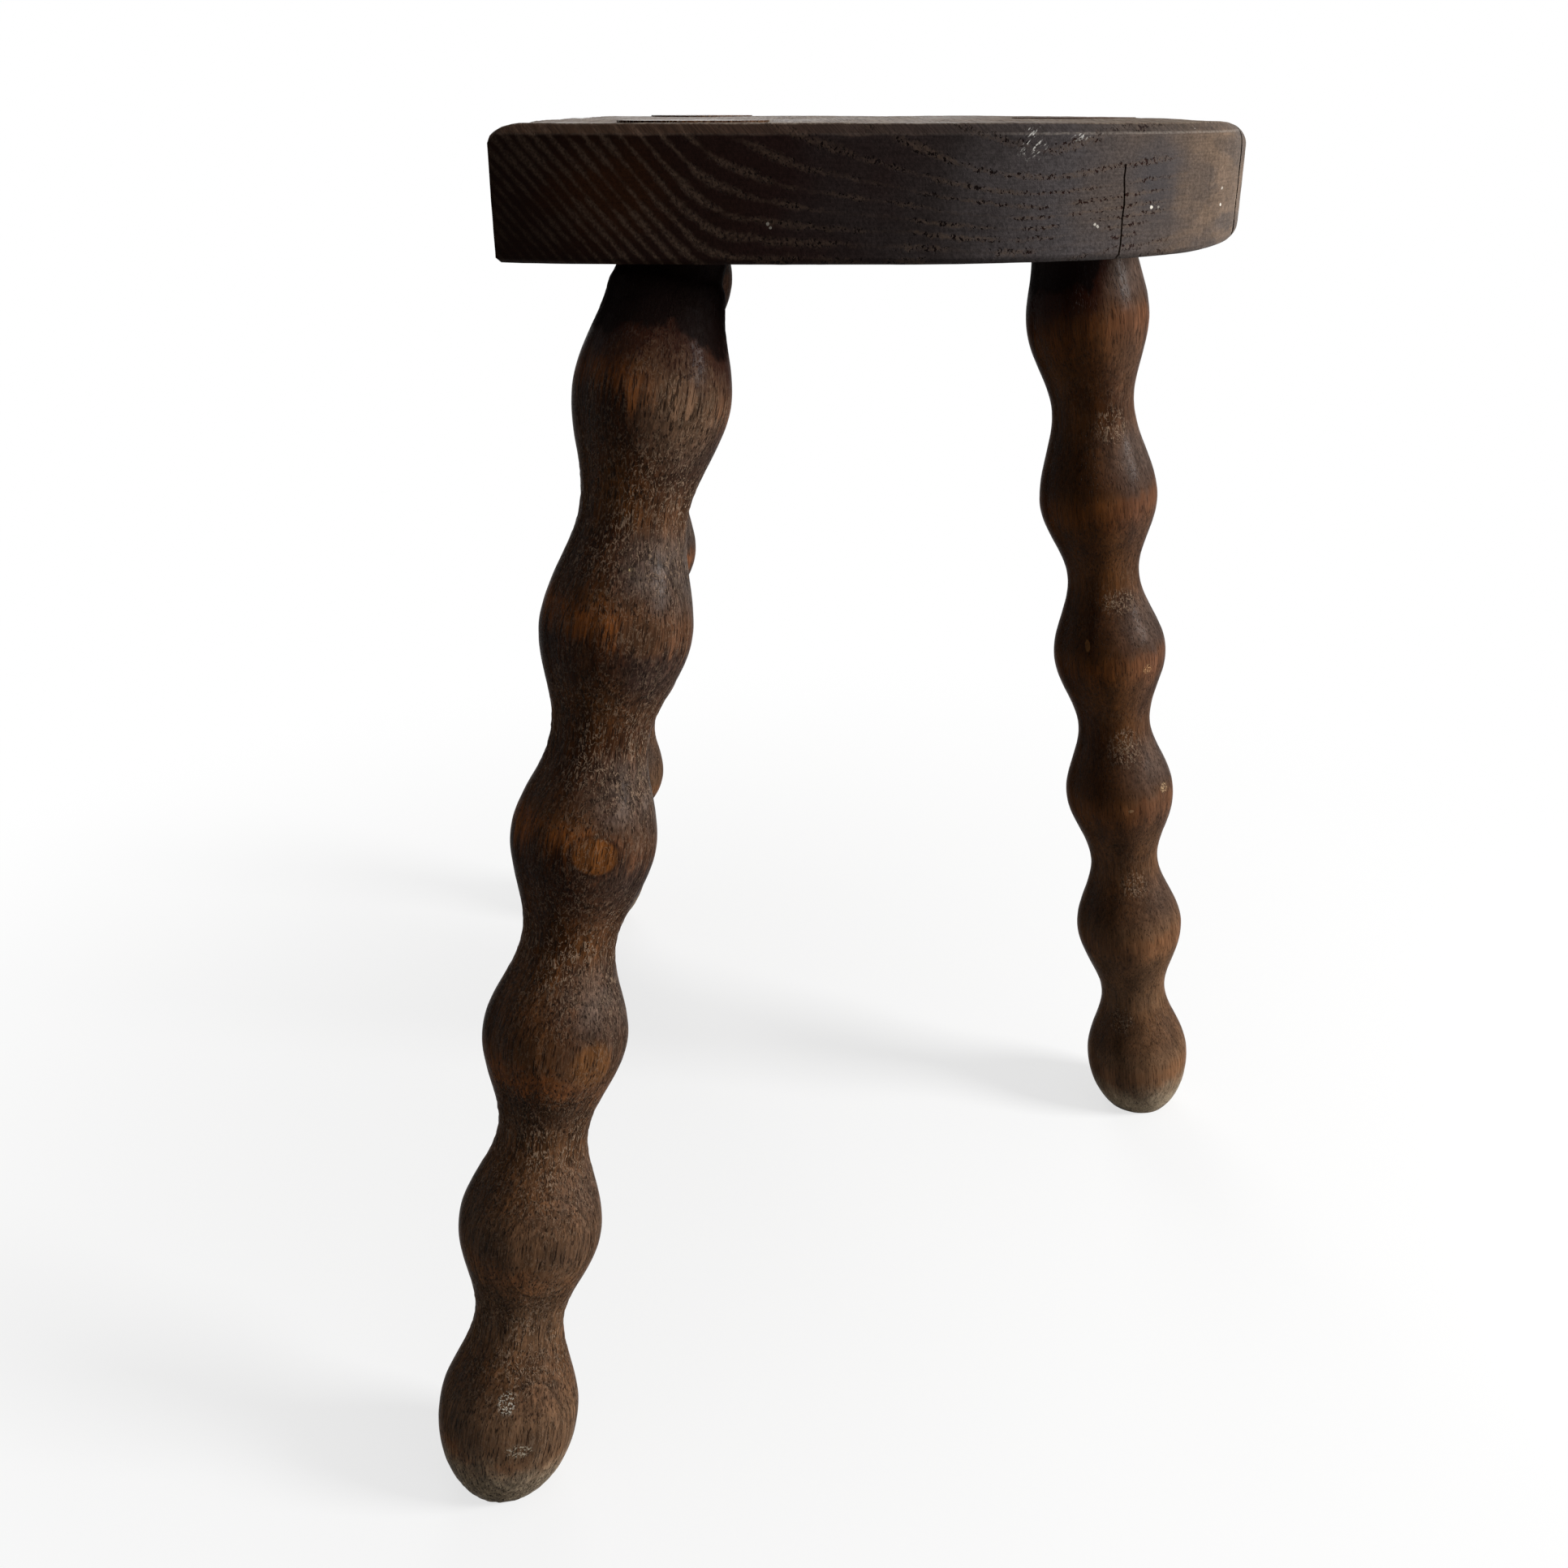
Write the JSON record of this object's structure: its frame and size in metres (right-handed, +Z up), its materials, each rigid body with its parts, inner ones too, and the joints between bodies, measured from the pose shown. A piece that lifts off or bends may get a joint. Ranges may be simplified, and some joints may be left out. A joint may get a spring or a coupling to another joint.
{
  "type": "tripod stool",
  "caption": "Low wooden stool with a thick half-moon plank seat on splayed, bobbin-turned legs that are tenoned right through it and wedged.",
  "frame": {"origin": "on the floor, under the middle of the stool's bounding box", "axes": "+Z up, +Y along the straight side of the seat from the near leg to the rear leg, +X from the straight side towards the round side and its single leg"},
  "size_m": [0.3288, 0.4687, 0.45],
  "materials": {
    "seat_oak": "dark stained and waxed, worn matt",
    "turned_leg": "stained and waxed turning, worn to a soft sheen",
    "wedge_wood": "end grain, worn matt"
  },
  "bodies": {
    "root": {"seat": "seat_oak", "leg_near": "turned_leg", "leg_right": "turned_leg", "leg_rear": "turned_leg", "wedge_near": "wedge_wood", "wedge_right": "wedge_wood", "wedge_rear": "wedge_wood"}
  },
  "joints": []
}
